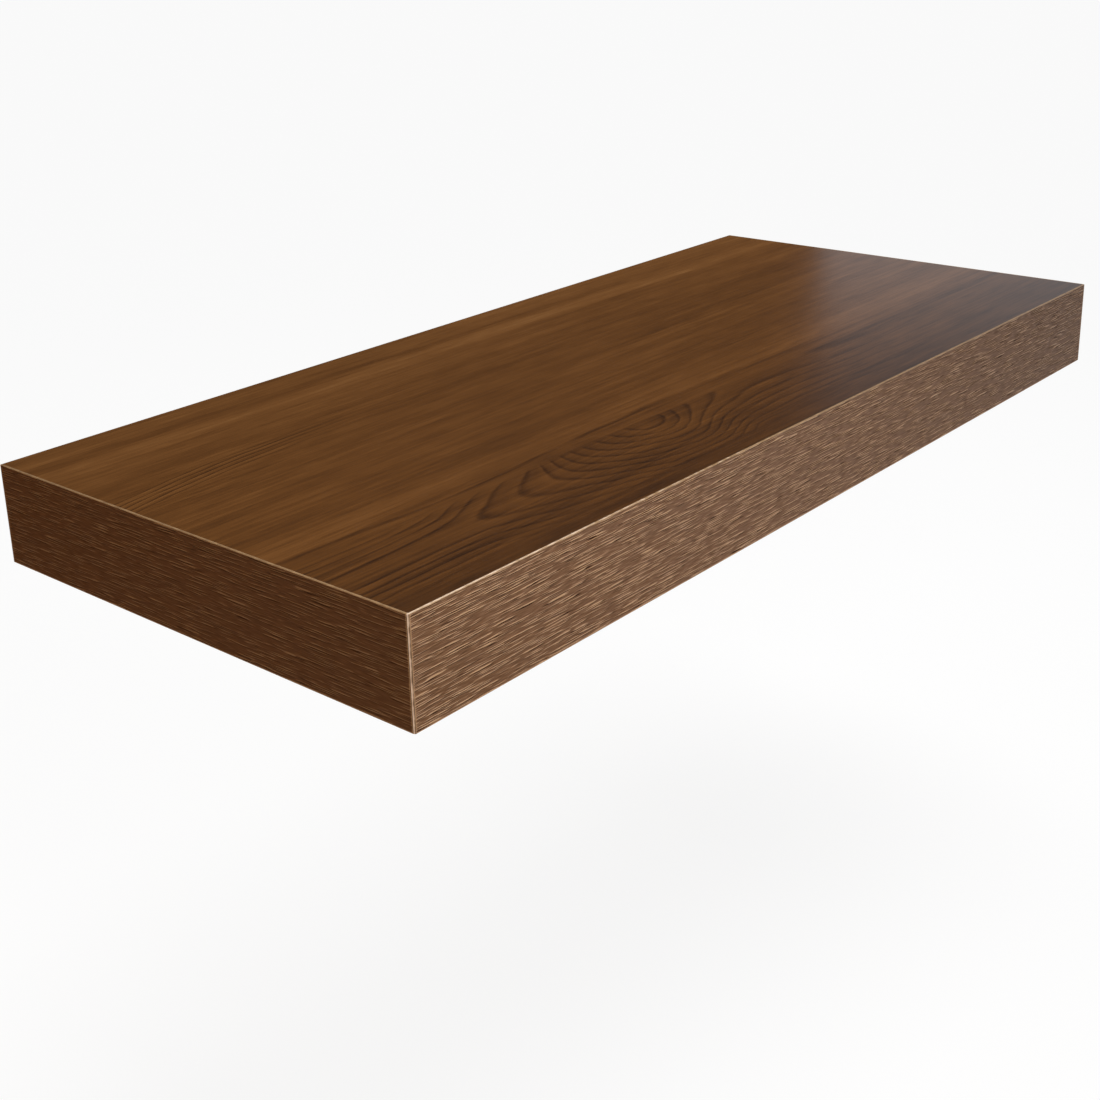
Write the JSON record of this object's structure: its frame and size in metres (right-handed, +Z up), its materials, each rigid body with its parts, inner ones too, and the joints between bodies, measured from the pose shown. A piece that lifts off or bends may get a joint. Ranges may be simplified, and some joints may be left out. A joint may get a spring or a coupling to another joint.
{
  "type": "floating wall shelf",
  "caption": "Thick walnut-look floating shelf: a hollow laminated board that slides over the rods of a hidden steel wall bracket and is clamped from below by grub screws.",
  "frame": {"origin": "centre of the bracket plate's back face, on the wall plane, at mid-length and mid-thickness", "axes": "+X along the shelf's length to the right seen from the front, +Y into the wall, +Z up"},
  "size_m": [0.61, 0.27, 0.05],
  "materials": {
    "walnut_decor_film": "satin",
    "fibreboard": "raw",
    "chipboard": "raw",
    "beech": "raw",
    "kraft_paper": "raw",
    "edge_band": "embossed",
    "zinc_plated_steel": "plated",
    "black_oxide_steel": "black oxide"
  },
  "bodies": {
    "wall_bracket": {"bracket_plate": "zinc_plated_steel", "left_support_rod": "zinc_plated_steel", "right_support_rod": "zinc_plated_steel", "rod_welds": "zinc_plated_steel"},
    "shelf": {"top_decor_film": "walnut_decor_film", "bottom_decor_film": "walnut_decor_film", "top_skin": "fibreboard", "bottom_skin": "fibreboard", "front_rail": "chipboard", "back_rail": "chipboard", "frame_dowels": "beech", "left_honeycomb": "kraft_paper", "centre_honeycomb": "kraft_paper", "right_honeycomb": "kraft_paper", "front_edge_band": "edge_band", "left_end_rail": "chipboard", "left_rod_block": "chipboard", "left_edge_band": "edge_band", "left_lock_insert": "zinc_plated_steel", "right_end_rail": "chipboard", "right_rod_block": "chipboard", "right_edge_band": "edge_band", "right_lock_insert": "zinc_plated_steel"},
    "left_lock_screw": {"left_lock_screw": "black_oxide_steel"},
    "right_lock_screw": {"right_lock_screw": "black_oxide_steel"}
  },
  "joints": [
    {"name": "shelf_slide", "type": "slide", "parent": "wall_bracket", "child": "shelf", "axis": [0, -1, 0], "range_m": [0, 0.175]},
    {"name": "left_lock_screw_travel", "type": "slide", "parent": "shelf", "child": "left_lock_screw", "axis": [0, 0, -1], "range_m": [0, 0.003]},
    {"name": "right_lock_screw_travel", "type": "slide", "parent": "shelf", "child": "right_lock_screw", "axis": [0, 0, -1], "range_m": [0, 0.003]}
  ]
}
